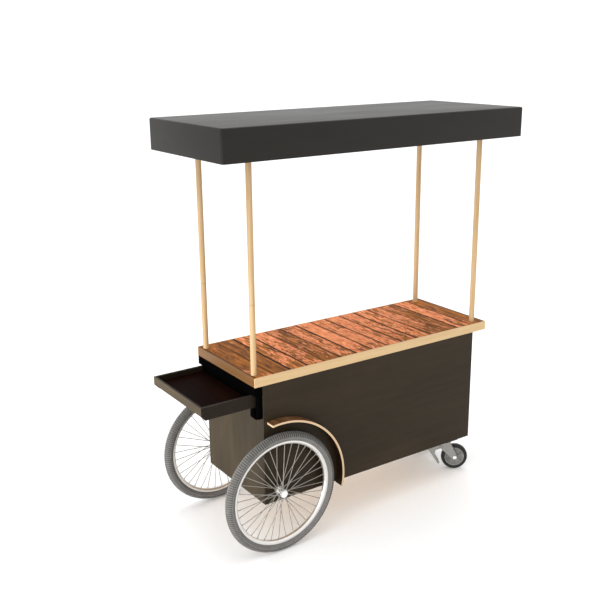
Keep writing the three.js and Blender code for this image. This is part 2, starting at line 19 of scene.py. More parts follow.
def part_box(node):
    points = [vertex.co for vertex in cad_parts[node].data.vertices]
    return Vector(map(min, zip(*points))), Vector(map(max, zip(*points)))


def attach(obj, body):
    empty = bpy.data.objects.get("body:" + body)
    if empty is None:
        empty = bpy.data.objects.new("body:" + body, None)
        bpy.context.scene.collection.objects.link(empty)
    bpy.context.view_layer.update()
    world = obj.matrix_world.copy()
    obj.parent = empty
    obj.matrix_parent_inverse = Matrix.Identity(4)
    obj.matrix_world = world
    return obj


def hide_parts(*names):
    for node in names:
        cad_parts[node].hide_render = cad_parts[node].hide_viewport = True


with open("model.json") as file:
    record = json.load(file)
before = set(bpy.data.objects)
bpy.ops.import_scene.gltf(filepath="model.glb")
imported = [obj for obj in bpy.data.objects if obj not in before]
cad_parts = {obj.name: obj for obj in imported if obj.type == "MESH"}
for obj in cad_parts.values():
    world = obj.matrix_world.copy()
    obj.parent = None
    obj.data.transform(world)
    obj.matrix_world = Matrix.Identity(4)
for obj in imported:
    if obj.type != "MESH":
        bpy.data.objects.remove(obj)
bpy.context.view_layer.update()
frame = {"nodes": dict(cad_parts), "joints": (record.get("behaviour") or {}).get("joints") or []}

SIDES = {"front": -1, "back": 1}
TAU = 2 * math.pi
MM = 0.001


# ---- places read from the frame
def middle(node):
    low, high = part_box(node)
    return (low + high) / 2


def joint(name):
    return next(j for j in frame["joints"] if j["name"] == name)


# ---- colours
def srgb(code):
    """A #rrggbb colour as linear RGBA."""
    parts = [int(code[i : i + 2], 16) / 255 for i in (1, 3, 5)]
    linear = [c / 12.92 if c <= 0.04045 else ((c + 0.055) / 1.055) ** 2.4 for c in parts]
    return (*linear, 1.0)


class Paint:
    """A Principled material, whose texture nodes are added by short calls."""

    def __init__(self, name, roughness=0.5, metallic=0.0, specular=0.5, coat=0.0):
        self.material = bpy.data.materials.new(name)
        self.material.use_nodes = True
        self.nodes = self.material.node_tree.nodes
        self.links = self.material.node_tree.links
        self.shader = self.nodes["Principled BSDF"]
        self.shader.inputs["Roughness"].default_value = roughness
        self.shader.inputs["Metallic"].default_value = metallic
        self.shader.inputs["Specular IOR Level"].default_value = specular
        self.shader.inputs["Coat Weight"].default_value = coat
        self.here = self.nodes.new("ShaderNodeTexCoord").outputs["Object"]

    def node(self, kind, inputs=None, **settings):
        made = self.nodes.new(kind)
        for key, value in settings.items():
            setattr(made, key, value)
        for key, value in (inputs or {}).items():
            self.put(made.inputs[key], value)
        return made

    def put(self, socket, value):
        if isinstance(value, bpy.types.NodeSocket):
            self.links.new(value, socket)
        else:
            socket.default_value = value

    def stretched(self, scale=(1, 1, 1), offset=(0, 0, 0), source=None):
        inputs = {"Vector": source or self.here, "Scale": scale, "Location": offset}
        return self.node("ShaderNodeMapping", inputs).outputs["Vector"]

    def noise(self, vector, scale, detail=4.0, rough=0.55, twist=0.0):
        inputs = {"Vector": vector, "Scale": scale, "Detail": detail, "Roughness": rough}
        inputs["Distortion"] = twist
        return self.node("ShaderNodeTexNoise", inputs).outputs["Fac"]

    def math(self, operation, a, b=0.0, clamp=False):
        return self.node("ShaderNodeMath", {0: a, 1: b}, operation=operation, use_clamp=clamp).outputs[0]

    def vector(self, operation, a, b):
        return self.node("ShaderNodeVectorMath", {0: a, 1: b}, operation=operation).outputs[0]

    def combine(self, x, y=0.0, z=0.0):
        return self.node("ShaderNodeCombineXYZ", {0: x, 1: y, 2: z}).outputs[0]

    def chance(self, number):
        """A random value for each whole number."""
        return self.node("ShaderNodeTexWhiteNoise", {"W": number}, noise_dimensions="1D").outputs["Value"]

    def weighted(self, a, a_share, b, b_share):
        return self.math("ADD", self.math("MULTIPLY", a, a_share), self.math("MULTIPLY", b, b_share))

    def span(self, value, low, high, to_low=0.0, to_high=1.0):
        """value taken smoothly from low..high to to_low..to_high."""
        inputs = {"Value": value, "From Min": low, "From Max": high, "To Min": to_low, "To Max": to_high}
        return self.node("ShaderNodeMapRange", inputs, interpolation_type="SMOOTHSTEP").outputs["Result"]

    def ramp(self, fac, *stops):
        """Colours at places along fac: (place, '#rrggbb'), ..."""
        made = self.node("ShaderNodeValToRGB", {"Fac": fac})
        elements = made.color_ramp.elements
        while len(elements) < len(stops):
            elements.new(0.5)
        for element, (place, code) in zip(elements, stops):
            element.position = place
            element.color = srgb(code)
        return made.outputs["Color"]

    def mix(self, fac, a, b, blend="MIX"):
        made = self.node("ShaderNodeMix", data_type="RGBA", blend_type=blend)
        self.put(made.inputs["Factor"], fac)
        self.put(made.inputs[6], a)
        self.put(made.inputs[7], b)
        return made.outputs[2]

    def colour(self, value):
        self.put(self.shader.inputs["Base Color"], value)

    def roughness(self, value):
        self.put(self.shader.inputs["Roughness"], value)

    def bump(self, height, depth, strength=1.0):
        inputs = {"Height": height, "Distance": depth, "Strength": strength}
        previous = self.shader.inputs["Normal"]
        if previous.is_linked:
            inputs["Normal"] = previous.links[0].from_socket
        self.links.new(self.node("ShaderNodeBump", inputs).outputs["Normal"], previous)


def along(axis, squeeze):
    """A mapping scale that draws a pattern out along one axis."""
    return tuple(squeeze if i == "XYZ".index(axis) else 1.0 for i in range(3))


# ---- materials
def painted_timber(name, dark, light, axis, roughness=0.5, grain=0.25, sheen=0.16):
    """Satin paint with cloudy tone, brush marks, faint grain below it and fine dust."""
    p = Paint(name, specular=sheen)
    cloud = p.noise(p.stretched(along(axis, 0.3)), 5.5, 4, 0.6, 0.4)
    brushed = p.noise(p.stretched(along(axis, 0.05)), 42, 5, 0.6)
    dust = p.noise(p.here, 260, 3, 0.7)
    tone = p.weighted(cloud, 0.7, brushed, 0.3)
    base = p.ramp(tone, (0.3, dark), (0.7, light))
    speck = p.span(dust, 0.62, 0.8, 0.0, 0.25)
    p.colour(p.mix(speck, base, srgb(light)))
    spread = p.weighted(cloud, 0.16, dust, 0.1)
    p.roughness(p.math("ADD", spread, roughness - 0.12))
    fibres = p.noise(p.stretched(along(axis, 0.02)), 320, 6, 0.65)
    p.bump(fibres, 0.4 * MM, grain)
    p.bump(dust, 0.15 * MM, 0.2)
    return p.material


def clear_wood(name, pale, mid, deep, axis, roughness=0.5, bands=26.0, sheen=0.3, pore=0.22):
    """Varnished timber: growth bands, long pores and soft tone changes along one axis."""
    p = Paint(name, specular=sheen)
    bent = p.noise(p.stretched(along(axis, 0.25)), 5, 3, 0.5)
    wobble = p.math("MULTIPLY", bent, 0.05)
    shifted = p.vector("ADD", p.here, p.combine(wobble, wobble, wobble))
    rings = p.noise(p.stretched(along(axis, 0.04), source=shifted), bands, 2, 0.4, 0.6)
    pores = p.noise(p.stretched(along(axis, 0.025)), 420, 5, 0.7)
    cloud = p.noise(p.here, 4, 3, 0.5)
    base = p.ramp(rings, (0.32, deep), (0.5, mid), (0.66, pale))
    shade = p.span(pores, 0.38, 0.6, pore, 0.0)
    base = p.mix(shade, base, srgb(deep))
    p.colour(p.mix(p.span(cloud, 0.4, 0.7, 0.0, 0.3), base, srgb(mid)))
    p.roughness(p.math("ADD", p.math("MULTIPLY", pores, 0.25), roughness - 0.12))
    p.bump(pores, 0.25 * MM, 0.35)
    p.bump(rings, 0.3 * MM, 0.15)
    return p.material


def old_planks(name, first_x, front_y, pitch):
    """Reclaimed boards across the counter: brown timber with salmon paint worn to streaks and flakes."""
    p = Paint(name, specular=0.08)
    split = p.node("ShaderNodeSeparateXYZ", {"Vector": p.here})
    place = p.math("DIVIDE", p.math("SUBTRACT", split.outputs["X"], first_x), pitch)
    board = p.math("FLOOR", place)
    chance = p.chance(board)
    own = p.math("MULTIPLY", chance, 7.0)
    moved = p.vector("ADD", p.here, p.combine(own, own, own))

    # grain: lines along the board that bend round slow swirls
    bend = p.noise(p.stretched((1, 0.4, 1), source=moved), 7, 3, 0.6)
    grain_at = p.vector("ADD", moved, p.combine(p.math("MULTIPLY", bend, 0.07)))
    streak = p.noise(p.stretched((1, 0.1, 1), source=grain_at), 60, 6, 0.75, 0.3)
    fine = p.noise(p.stretched((1, 0.07, 1), source=grain_at), 240, 5, 0.7)
    flake = p.noise(p.stretched((1, 0.45, 1), source=grain_at), 42, 6, 0.75, 0.6)
    patch = p.noise(p.stretched((1, 0.5, 1), source=moved), 6.5, 3, 0.6, 0.5)

    # painted light: the salmon paint is thick in the middle of the counter and nearly gone at its two ends,
    # which makes the middle lighter and the ends darker; the paint is also worn thinner near the front edge
    left = p.span(place, 0.6, 6.0)
    right = p.span(place, PLANKS - 0.4, PLANKS - 1.8)
    inland_light_and_wear = p.math("MULTIPLY", left, right)
    inland_light_and_wear = p.math("MULTIPLY", inland_light_and_wear, p.span(split.outputs["Y"], front_y, front_y + FRONT_WEAR, 0.45, 1.0))
    share = p.weighted(inland_light_and_wear, 0.12, chance, 0.11)
    wet = p.weighted(flake, 0.55, streak, 0.45)
    cover = p.math("ADD", p.math("ADD", wet, share), p.math("MULTIPLY", patch, 0.42))
    painted = p.span(cover, 0.83, 0.87)

    timber = p.ramp(streak, (0.34, "#391c03"), (0.44, "#7e4811"), (0.54, "#a8631f"), (0.68, "#d18430"))
    paint = p.ramp(fine, (0.36, "#9a502a"), (0.45, "#d27748"), (0.54, "#f09460"), (0.66, "#ffb585"))
    tone = p.mix(painted, timber, paint)
    strength = p.span(chance, 0.0, 1.0, 0.8, 1.06)
    tone = p.mix(1.0, tone, p.combine(strength, strength, strength), "MULTIPLY")

    cell = p.node("ShaderNodeTexVoronoi", {"Vector": p.stretched((1, 0.5, 1), source=moved), "Scale": 8.5})
    knot = p.span(cell.outputs["Distance"], 0.16, 0.05)
    tone = p.mix(p.math("MULTIPLY", knot, 0.7), tone, srgb("#321a0d"))
    crack = p.span(p.noise(p.stretched((1, 0.03, 1), source=grain_at), 100, 3, 0.6), 0.6, 0.68)
    tone = p.mix(p.math("MULTIPLY", crack, 0.65), tone, srgb("#28150a"))
    off_middle = p.math("ABSOLUTE", p.math("SUBTRACT", p.math("FRACT", place), 0.5))
    seam = p.span(p.math("ADD", off_middle, p.math("MULTIPLY", streak, 0.1)), 0.47, 0.51)
    depth = p.chance(p.math("ROUND", place))
    p.colour(p.mix(p.math("MULTIPLY", seam, p.span(depth, 0.1, 0.9, 0.5, 1.0)), tone, srgb("#2b170c")))

    p.roughness(p.math("ADD", p.math("MULTIPLY", streak, 0.3), 0.45))
    p.bump(flake, 1.2 * MM, 0.5)
    p.bump(streak, 1.2 * MM, 0.6)
    p.bump(fine, 0.4 * MM, 0.5)
    p.bump(p.math("MULTIPLY", crack, -1.0), 1.0 * MM, 0.6)
    return p.material


def ply_edge(name, centre, light, dark, ply):
    """The cut edge of bent plywood: thin layers that follow the bend about centre."""
    p = Paint(name, roughness=0.5)
    out = p.vector("SUBTRACT", p.here, (centre.x, 0, centre.z))
    flat = p.vector("MULTIPLY", out, (1, 0, 1))
    radius = p.node("ShaderNodeVectorMath", {0: flat}, operation="LENGTH").outputs["Value"]
    layer = p.math("SINE", p.math("MULTIPLY", radius, TAU / (2 * ply)))
    speckle = p.noise(p.here, 500, 4, 0.7)
    p.colour(p.mix(p.span(layer, -0.4, 0.6, 0.0, 0.45), srgb(light), srgb(dark)))
    p.roughness(p.math("ADD", p.math("MULTIPLY", speckle, 0.3), 0.35))
    p.bump(speckle, 0.2 * MM, 0.4)
    return p.material


def rubber(name, dark, light, roughness):
    p = Paint(name, specular=0.35)
    dust = p.noise(p.here, 30, 5, 0.7, 0.5)
    pit = p.noise(p.here, 900, 3, 0.7)
    p.colour(p.ramp(dust, (0.35, dark), (0.7, light)))
    p.roughness(p.math("ADD", p.math("MULTIPLY", dust, 0.25), roughness - 0.12))
    p.bump(pit, 0.2 * MM, 0.4)
    return p.material


def metal(name, code, roughness, brushed=0.0, grime="#6d6a66", axis="Z", metallic=1.0):
    """Plated or polished metal, with fine scratches and a little dirt in patches."""
    p = Paint(name, metallic=metallic)
    patch = p.noise(p.here, 26, 5, 0.65, 0.3)
    scratch = p.noise(p.stretched(along(axis, 0.05)), 700, 4, 0.7)
    p.colour(p.mix(p.span(patch, 0.5, 0.85, 0.0, 0.55), srgb(code), srgb(grime)))
    rough = p.weighted(patch, 0.25, scratch, brushed)
    p.roughness(p.math("ADD", rough, roughness - 0.1))
    p.bump(scratch, 0.08 * MM, 0.3)
    return p.material


def nylon(name, dark, light):
    p = Paint(name, specular=0.45)
    cloud = p.noise(p.here, 40, 4, 0.6)
    grain = p.noise(p.here, 1400, 2, 0.6)
    p.colour(p.ramp(cloud, (0.3, dark), (0.7, light)))
    p.roughness(p.math("ADD", p.math("MULTIPLY", cloud, 0.2), 0.38))
    p.bump(grain, 0.1 * MM, 0.4)
    return p.material


# ---- object and mesh helpers
def add_object(name, data):
    made = bpy.data.objects.new(name, data)
    bpy.context.scene.collection.objects.link(made)
    return made


def finish_piece(name, mesh, body, materials, stands_for=(), smooth=35):
    """Makes an object of a mesh, shades it and puts it on its body."""
    mesh.update()
    for face in mesh.polygons:
        face.use_smooth = True
    mesh.set_sharp_from_angle(angle=math.radians(smooth))
    for material in materials if isinstance(materials, (list, tuple)) else [materials]:
        mesh.materials.append(material)
    piece = add_object(name, mesh)
    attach(piece, body)
    if stands_for:
        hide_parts(*([stands_for] if isinstance(stands_for, str) else stands_for))
    return piece


def mesh_of(name, points, faces, face_materials=None):
    mesh = bpy.data.meshes.new(name)
    mesh.from_pydata([tuple(p) for p in points], [], faces)
    if face_materials is not None:
        mesh.polygons.foreach_set("material_index", face_materials)
    mesh.validate()
    return mesh


def from_bmesh(name, bm):
    bmesh.ops.recalc_face_normals(bm, faces=bm.faces[:])
    mesh = bpy.data.meshes.new(name)
    bm.to_mesh(mesh)
    bm.free()
    return mesh


def lofted(name, points, count, face_materials=None):
    """A closed solid through loops of count points each, listed one loop after the other."""
    last = len(points) - count
    faces = []
    for low in range(0, last, count):
        for j in range(count):
            n = (j + 1) % count
            faces.append((low + j, low + n, low + count + n, low + count + j))
    faces.append(tuple(reversed(range(count))))
    faces.append(tuple(range(last, last + count)))
    bm = bmesh.new()
    bm.from_mesh(mesh_of(name, points, faces, face_materials))
    return from_bmesh(name, bm)


def axis_matrix(axis, centre=(0, 0, 0)):
    """Turns a solid made about +Z so that it lies along axis, and moves it to centre."""
    turn = Vector((0, 0, 1)).rotation_difference(Vector(axis)).to_matrix().to_4x4()
    return Matrix.Translation(Vector(centre)) @ turn


def across(centre):
    """Turns a solid made about +Z so that it lies along +Y, and moves it to centre."""
    return axis_matrix((0, 1, 0), centre)


def add_turned(bm, profile, segments, matrix, closed=False, ripple=None):
    """Adds a solid turned about +Z from (radius, height) points. ripple changes the radius by angle."""
    rings = []
    for radius, height in profile:
        if radius < 1e-7:
            rings.append([bm.verts.new(matrix @ Vector((0, 0, height)))])
            continue
        ring = []
        for k in range(segments):
            angle = TAU * (k + 0.5) / segments
            reach = radius + (ripple(radius, height, k) if ripple else 0.0)
            spot = Vector((reach * math.cos(angle), reach * math.sin(angle), height))
            ring.append(bm.verts.new(matrix @ spot))
        rings.append(ring)
    pairs = list(zip(rings, rings[1:] + rings[:1])) if closed else list(zip(rings, rings[1:]))
    for low, high in pairs:
        for k in range(segments):
            n = (k + 1) % segments
            if len(low) == 1 and len(high) == 1:
                continue
            if len(low) == 1:
                bm.faces.new((low[0], high[n], high[k]))
            elif len(high) == 1:
                bm.faces.new((low[k], low[n], high[0]))
            else:
                bm.faces.new((low[k], low[n], high[n], high[k]))


def add_slab(bm, low, high, matrix=None, bevel=0.0, steps=2):
    """Adds a box with rounded edges."""
    made = bmesh.ops.create_cube(bm, size=1.0)["verts"]
    low, high = Vector(low), Vector(high)
    for v in made:
        v.co = Vector(low[i] + (v.co[i] + 0.5) * (high[i] - low[i]) for i in range(3))
    if bevel:
        edges = list({e for v in made for e in v.link_edges})
        rounding = {"offset": bevel, "segments": steps, "affect": "EDGES", "profile": 0.6}
        made = bmesh.ops.bevel(bm, geom=edges, **rounding)["verts"]
    if matrix is not None:
        bmesh.ops.transform(bm, matrix=matrix, verts=list(set(made)))


def rounded(profile, radius, steps=3):
    """Rounds the corners of an open (radius, height) outline. Its end points stay."""
    points = [Vector(p) for p in profile]
    out = [points[0]]
    for before, corner, after in zip(points, points[1:], points[2:]):
        reach = min(radius, (corner - before).length * 0.45, (after - corner).length * 0.45)
        start = corner + (before - corner).normalized() * reach
        end = corner + (after - corner).normalized() * reach
        for i in range(steps + 1):
            t = i / steps
            out.append(start * (1 - t) ** 2 + corner * 2 * t * (1 - t) + end * t**2)
    return [tuple(p) for p in [*out, points[-1]]]


def mirrored(profile):
    """The other half of a (radius, height) outline that is alike above and below height 0."""
    return [(radius, -height) for radius, height in reversed(profile)]


def in_mm(profile):
    return [(radius * MM, height * MM) for radius, height in profile]


def turned(name, profile, segments, matrix, closed=False):
    """A mesh turned from one outline."""
    bm = bmesh.new()
    add_turned(bm, profile, segments, matrix, closed)
    return from_bmesh(name, bm)


def rod(bm, start, end, radius, segments=8):
    start, end = Vector(start), Vector(end)
    length = (end - start).length
    profile = [(0, 0), (radius, 0), (radius, length), (0, length)]
    add_turned(bm, profile, segments, axis_matrix(end - start, start))


# ---- camera, light and floor
CAMERA = {
    "place": (-2.8074, -3.7954, 2.5651),
    "yaw": -0.5942, "pitch": -0.2864, "roll": -0.0105,
    "lens": 53.2,
}
SKY = 1.27
KEY_LIGHT = {"place": (-5.0, -0.8, 0.7), "aim": (-0.7, 0, 0.5), "size": (2.2, 1.6), "power": 22, "spread": 42}
TOP_LIGHT = {"place": (0.3, 0.8, 6.0), "aim": (0, 0, 1.0), "size": (4, 3), "power": 60}
FLOOR_HALF = 60.0
FLOOR_DROP = 0.5 * MM


def make_camera():
    yaw, pitch, roll = CAMERA["yaw"], CAMERA["pitch"], CAMERA["roll"]
    ahead = Vector((-math.sin(yaw) * math.cos(pitch), math.cos(yaw) * math.cos(pitch), math.sin(pitch)))
    right = Vector((math.cos(yaw), math.sin(yaw), 0))
    up = right.cross(ahead)
    tilted_right = math.cos(roll) * right + math.sin(roll) * up
    tilted_up = math.cos(roll) * up - math.sin(roll) * right
    data = bpy.data.cameras.new("camera")
    data.lens = CAMERA["lens"]
    data.sensor_width = 36.0
    data.clip_end = 200.0
    camera = add_object("camera", data)
    camera.matrix_world = Matrix.Translation(CAMERA["place"]) @ Matrix(
        (tilted_right, tilted_up, -ahead)
    ).transposed().to_4x4()
    bpy.context.scene.camera = camera


def area_light(name, place, aim, size, power, spread=180):
    data = bpy.data.lights.new(name, "AREA")
    data.shape = "RECTANGLE"
    data.size, data.size_y = size
    data.energy = power
    data.spread = math.radians(spread)
    light = add_object(name, data)
    light.location = place
    light.rotation_euler = (Vector(aim) - Vector(place)).to_track_quat("-Z", "Y").to_euler()


def make_stage():
    world = bpy.data.worlds.new("studio")
    world.use_nodes = True
    background = world.node_tree.nodes["Background"]
    background.inputs["Color"].default_value = (1, 1, 1, 1)
    background.inputs["Strength"].default_value = SKY
    bpy.context.scene.world = world
    bpy.context.scene.view_settings.view_transform = "Standard"

    p = Paint("floor_paint", roughness=0.9, specular=0.1)
    p.colour(p.ramp(p.noise(p.here, 40, 3), (0.3, "#fbfbfb"), (0.7, "#fdfdfd")))
    corners = [(x * FLOOR_HALF, y * FLOOR_HALF, 0) for x, y in ((-1, -1), (1, -1), (1, 1), (-1, 1))]
    mesh = mesh_of("floor", corners, [(0, 1, 2, 3)])
    mesh.materials.append(p.material)
    floor = add_object("floor", mesh)
    floor.location.z = -FLOOR_DROP

    area_light("key", **KEY_LIGHT)
    area_light("top", **TOP_LIGHT)


# ---- CAD sheets and timbers that stay
def keep_nodes(names, materials, bevel, smooth=35):
    """Gives CAD nodes softened edges and a material. A second material goes on the softened edges."""
    materials = materials if isinstance(materials, (list, tuple)) else [materials]
    for name in names:
        node = frame["nodes"][name]
        mesh = node.data
        if "custom_normal" in mesh.attributes:
            mesh.attributes.remove(mesh.attributes["custom_normal"])
        mesh.materials.clear()
        for material in materials:
            mesh.materials.append(material)
        mesh.polygons.foreach_set("material_index", [0] * len(mesh.polygons))
        mesh.shade_flat()
        weld = node.modifiers.new("weld", "WELD")
        weld.merge_threshold = 0.02 * MM
        soften = node.modifiers.new("soften", "BEVEL")
        soften.width = bevel
        soften.segments = 2
        soften.limit_method = "ANGLE"
        soften.angle_limit = math.radians(smooth)
        soften.harden_normals = True
        soften.use_clamp_overlap = True
        if len(materials) > 1:
            soften.material = 1


def paint_light_on_end_board(name, material):
    """Gives the faces of a kept node that look towards the wheel end a lighter paint of their own: painted
    light, for the light on that end.
    """
    mesh = frame["nodes"][name].data
    mesh.materials.append(material)
    for face in mesh.polygons:
        if face.normal.x < -0.9:
            face.material_index = len(mesh.materials) - 1


def keep_cabinet():
    face = painted_timber("charcoal_paint", "#231b10", "#32281a", "X", sheen=0.14)
    # partly painted light: the end panels and doors get a lighter copy of the charcoal paint, which on the
    # wheel end stands in for the light from the side
    upright = painted_timber("charcoal_end_paint_lit", "#261f14", "#403627", "Z", sheen=0.12)
    edge = painted_timber("charcoal_edge", "#2c261e", "#3d362b", "X", roughness=0.55)
    keep_nodes(["front_panel", "back_face_frame"], [face, edge], 1.5 * MM)
    keep_nodes(["left_end_panel", "right_end_panel"], [upright, edge], 1.2 * MM)
    keep_nodes(["door_left", "door_right"], [upright, edge], 1.5 * MM)
    rim = painted_timber("tray_paint", "#16110b", "#241c12", "Y", sheen=0.12)
    rim_edge = painted_timber("tray_edge", "#5a5348", "#7a7061", "Y", roughness=0.55)
    keep_nodes(["tray_frame"], [rim, rim_edge], 1.2 * MM)
    # painted light: the tray's outer end board gets a lighter paint than its rim, standing in for the light
    # on the wheel end
    lit_board = painted_timber("tray_end_painted_light", "#30281d", "#50442f", "Y", sheen=0.12)
    paint_light_on_end_board("tray_frame", lit_board)
    # painted shade: the apron, caster beam and tray legs get a near-black with no sheen, darker than the
    # charcoal paint, for the shade under the counter and tray
    black = painted_timber("painted_shade_black", "#030303", "#060505", "Y", roughness=0.75, sheen=0.0)
    brown_black = painted_timber("tray_floor_paint", "#050101", "#1c0a05", "Y", roughness=0.6, sheen=0.015)
    keep_nodes(["caster_beam", "apron", "tray_leg_front", "tray_leg_back"], black, 1.5 * MM)
    keep_nodes(["tray_floor"], brown_black, 0.8 * MM)
    ply = clear_wood("birch_ply", "#cfae7c", "#bd9966", "#9c7746", "X", roughness=0.6)
    bare = ["floor_panel", "inner_shelf", "axle_bearer", "counter_sub_top", "canopy_frame"]
    keep_nodes(bare, ply, 1.0 * MM)


def keep_edge_bands():
    long_wood = clear_wood("band_wood_long", "#c6aa7f", "#c4a67b", "#be9f74", "X", bands=50, pore=0.06)
    cross_wood = clear_wood("band_wood_cross", "#6e4b27", "#684827", "#63411f", "Y", bands=50, pore=0.06)
    keep_nodes(["edge_band_front", "edge_band_back"], long_wood, 1.4 * MM)
    keep_nodes(["edge_band_left", "edge_band_right"], cross_wood, 1.0 * MM)


# ---- counter planks
PLANKS = 15
FRONT_WEAR = 220 * MM
PLANK_GAPS = (0.8 * MM, 2.8 * MM)
PLANK_STATIONS = 90
PLANK_TOP_POINTS = 9
PLANK_ROLL = 2.2 * MM
EDGE_WEAR = 1.0 * MM
TOP_WEAR = 0.7 * MM
HOLE_PLAY = 0.6 * MM


def plank_mesh(name, low, high, seed):
    """A worn board along Y: wavy long edges, rounded arrises and a slightly uneven top."""
    roll = PLANK_ROLL
    tops = np.linspace(0, 1, PLANK_TOP_POINTS)
    points = []
    for i in range(PLANK_STATIONS + 1):
        y = low.y + (high.y - low.y) * i / PLANK_STATIONS
        worn = [noise.noise(Vector((y * 22, seed * 3.1, side))) * EDGE_WEAR for side in (0.0, 5.0)]
        x0, x1 = low.x + abs(worn[0]), high.x - abs(worn[1])
        section = [(x0, low.z), (x0, high.z - roll), (x0 + 0.3 * roll, high.z - 0.3 * roll)]
        for t in tops:
            x = x0 + roll + (x1 - x0 - 2 * roll) * t
            dip = abs(noise.noise(Vector((x * 30, y * 7, seed)))) * TOP_WEAR
            section.append((x, high.z - dip))
        section += [(x1 - 0.3 * roll, high.z - 0.3 * roll), (x1, high.z - roll), (x1, low.z)]
        points += [(x, y, z) for x, z in section]
    return lofted(name, points, len(section))


def bore_for_posts(plank, low, high):
    """Cuts round holes through an end plank where the posts go through it."""
    cutter_mesh = bmesh.new()
    reached = False
    for node in [n for n in frame["nodes"] if n.startswith("lower_post_")]:
        centre = middle(node)
        if low.x < centre.x < high.x:
            reached = True
            start = Vector((centre.x, centre.y, low.z - 10 * MM))
            rod(cutter_mesh, start, start + Vector((0, 0, 50 * MM)), POST_RADIUS + HOLE_PLAY, 32)
    if not reached:
        cutter_mesh.free()
        return
    cutter = add_object("cutter", from_bmesh("cutter", cutter_mesh))
    cut = plank.modifiers.new("holes", "BOOLEAN")
    cut.operation = "DIFFERENCE"
    cut.object = cutter
    cut.solver = "EXACT"
    bpy.context.view_layer.update()
    evaluated = plank.evaluated_get(bpy.context.evaluated_depsgraph_get())
    plank.data = bpy.data.meshes.new_from_object(evaluated)
    plank.modifiers.clear()
    bpy.data.objects.remove(cutter)


def make_planks():
    low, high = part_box("plank_deck")
    pitch = (high.x - low.x) / PLANKS
    material = old_planks("old_plank_wood", low.x, low.y, pitch)
    gaps = [random.uniform(*PLANK_GAPS) for _ in range(PLANKS + 1)]
    gaps[0] = gaps[-1] = PLANK_GAPS[0]
    for i in range(PLANKS):
        name = f"plank_{i + 1:02d}"
        start = Vector((low.x + i * pitch + gaps[i] / 2, low.y, low.z))
        end = Vector((low.x + (i + 1) * pitch - gaps[i + 1] / 2, high.y, high.z))
        stands_for = "plank_deck" if i == 0 else ()
        mesh = plank_mesh(name, start, end, i + 1)
        plank = finish_piece(name, mesh, "cart", material, stands_for)
        bore_for_posts(plank, start, end)


# ---- posts and canopy
POST_RADIUS = 15 * MM
POST_CHAMFER = 1.2 * MM
SEAM_GAP = 0.3 * MM
SPIGOT_RADIUS = 8 * MM
SPIGOT_PLAY = 0.6 * MM
SPIGOT_HEADROOM = 4 * MM


def make_posts():
    wood = clear_wood("post_wood", "#ba9d76", "#b6986f", "#ac8d63", "Z", bands=70, pore=0.1)
    bore = SPIGOT_RADIUS + SPIGOT_PLAY
    for side in ("front_left", "front_right", "back_left", "back_right"):
        lower, upper = f"lower_post_{side}", f"upper_post_{side}"
        low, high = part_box(lower)
        foot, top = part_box(upper)
        centre = middle(lower)
        seam = foot.z
        shoulder = seam - SEAM_GAP
        spigot_top = high.z
        socket_top = spigot_top + SPIGOT_HEADROOM
        solid = [
            (0, low.z), (POST_RADIUS, low.z), (POST_RADIUS, shoulder - POST_CHAMFER),
            (POST_RADIUS - POST_CHAMFER, shoulder),
            (SPIGOT_RADIUS, shoulder),
            (SPIGOT_RADIUS, spigot_top - 2 * POST_CHAMFER),
            (SPIGOT_RADIUS - POST_CHAMFER, spigot_top),
            (0, spigot_top),
        ]
        sleeve = [
            (0, socket_top), (bore, socket_top), (bore, seam),
            (POST_RADIUS - POST_CHAMFER, seam),
            (POST_RADIUS, seam + POST_CHAMFER),
            (POST_RADIUS, top.z), (0, top.z),
        ]
        at = Matrix.Translation((centre.x, centre.y, 0))
        for name, body, profile in ((lower, "cart", solid), (upper, "canopy", sleeve)):
            finish_piece(f"round_{name}", turned(name, profile, 40, at), body, wood, name)


CANOPY_CORNER = 16 * MM
CANOPY_CORNER_STEPS = 6
CANOPY_ROLL = 10 * MM
CANOPY_ROLL_STEPS = 6
CANOPY_WALL = 12 * MM
CANOPY_LIP = 2 * MM
CANOPY_LIP_TURNS = (0.5, 1.1, TAU / 4)


def make_canopy():
    """A shell lofted through rounded rectangles: up the inside, round the bottom edge and over the top."""
    low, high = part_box("canopy_shell")
    wall, lip, steps = CANOPY_WALL, CANOPY_LIP, CANOPY_CORNER_STEPS

    def loop(inset, z):
        radius = max(CANOPY_CORNER - inset, 2 * MM)
        out = []
        for quarter, (sx, sy) in enumerate(((1, 1), (-1, 1), (-1, -1), (1, -1))):
            cx = (high.x - inset - radius) if sx > 0 else (low.x + inset + radius)
            cy = (high.y - inset - radius) if sy > 0 else (low.y + inset + radius)
            for k in range(steps + 1):
                angle = TAU * (quarter + k / steps) / 4
                out.append((cx + radius * math.cos(angle), cy + radius * math.sin(angle), z))
        return out

    stack = [(wall, high.z - wall), (wall, low.z + lip)]
    stack += [(wall - lip * math.sin(a), low.z + lip * (1 - math.sin(a))) for a in CANOPY_LIP_TURNS]
    stack += [(lip * (1 - math.sin(a)), low.z + lip * (1 - math.cos(a))) for a in (0.0, *CANOPY_LIP_TURNS)]
    turns = [TAU / 4 * k / CANOPY_ROLL_STEPS for k in range(CANOPY_ROLL_STEPS + 1)]
    stack += [(CANOPY_ROLL * (1 - math.cos(a)), high.z - CANOPY_ROLL * (1 - math.sin(a))) for a in turns]
    points = [point for inset, z in stack for point in loop(inset, z)]
    mesh = lofted("canopy", points, 4 * (steps + 1))
    paint = painted_timber("canopy_paint", "#171512", "#1f1c17", "X", roughness=0.45, grain=0.1, sheen=0.21)
    finish_piece("canopy_cover", mesh, "canopy", paint, "canopy_shell", smooth=40)


